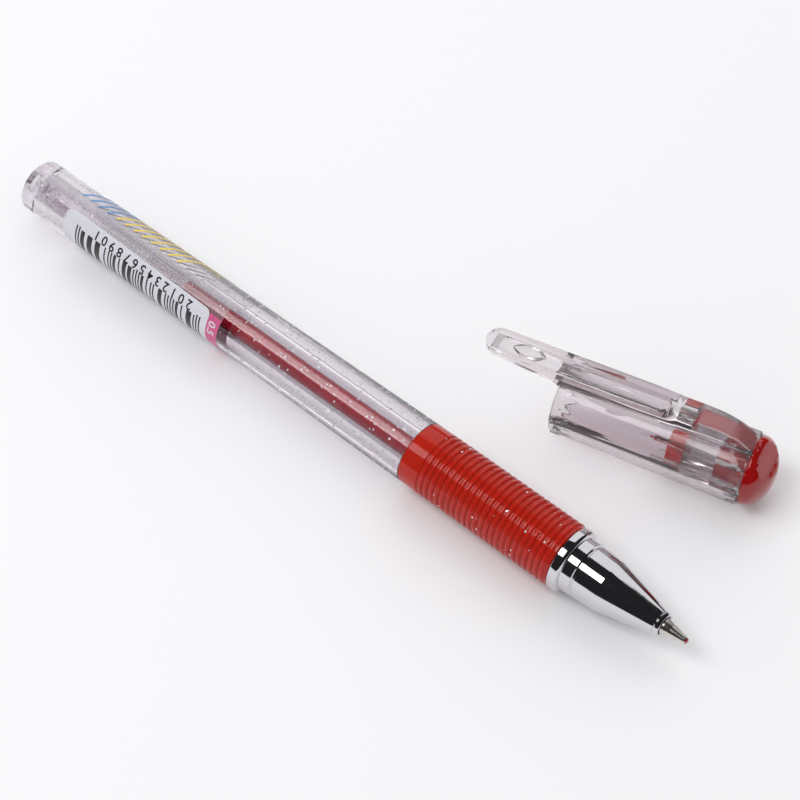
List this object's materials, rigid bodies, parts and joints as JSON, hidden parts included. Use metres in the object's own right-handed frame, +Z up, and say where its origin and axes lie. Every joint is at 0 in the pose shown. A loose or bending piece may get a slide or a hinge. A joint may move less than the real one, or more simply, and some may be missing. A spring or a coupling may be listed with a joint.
{
  "type": "gel pen",
  "caption": "Capped gel pen with a clear ringed barrel, ribbed rubber grip, screw-on metal nose cone, sliding ink column in its refill and a clip cap lying beside it.",
  "frame": {"origin": "centre of the barrel's rear face, on the pen's axis", "axes": "+X along the pen towards its tip, +Z up from the surface the pen lies on, so +Y points to the side where the cap lies"},
  "size_m": [0.144, 0.0441, 0.0154],
  "materials": {
    "clear_plastic": "clear gloss",
    "label": "gloss",
    "grip_rubber": "satin",
    "chrome": "polished",
    "tube_plastic": "satin",
    "ink": "wet",
    "follower": "wet",
    "holder_plastic": "satin",
    "nickel_silver": "turned",
    "carbide": "polished",
    "red_plastic": "gloss",
    "seal_rubber": "satin"
  },
  "bodies": {
    "barrel": {"barrel": "clear_plastic", "label_film": "label", "grip_sleeve": "grip_rubber"},
    "refill": {"refill_tube": "tube_plastic", "tip_holder": "holder_plastic", "nib": "nickel_silver", "ink": "ink"},
    "nose": {"nose_cone": "chrome"},
    "follower": {"grease_follower": "follower"},
    "ball": {"ball": "carbide"},
    "cap": {"cap_shell": "clear_plastic", "cap_plug": "red_plastic", "cap_seal": "seal_rubber"}
  },
  "joints": [
    {"name": "nose_travel", "type": "slide", "parent": "barrel", "child": "refill", "axis": [1, 0, 0], "range_m": [0, 0.006]},
    {"name": "nose_turn", "type": "hinge", "parent": "refill", "child": "nose", "pos_m": [0.12, 0, 0], "axis": [1, 0, 0], "range_deg": [0, 2160]},
    {"name": "follower_travel", "type": "slide", "parent": "refill", "child": "follower", "axis": [1, 0, 0], "range_m": [0, 0.055], "deforming": ["ink"]},
    {"name": "ball_roll", "type": "hinge", "parent": "refill", "child": "ball", "pos_m": [0.1436, 0, 0], "axis": [0, 1, 0], "continuous": true},
    {"name": "cap_pull", "type": "slide", "parent": "barrel", "child": "cap", "axis": [0.9659, 0.2588, 0.0069], "range_m": [0, 0.0217]}
  ],
  "couplings": [
    {"joint": "nose_travel", "follows": "nose_turn", "m_per_rad": 0.00015915}
  ]
}
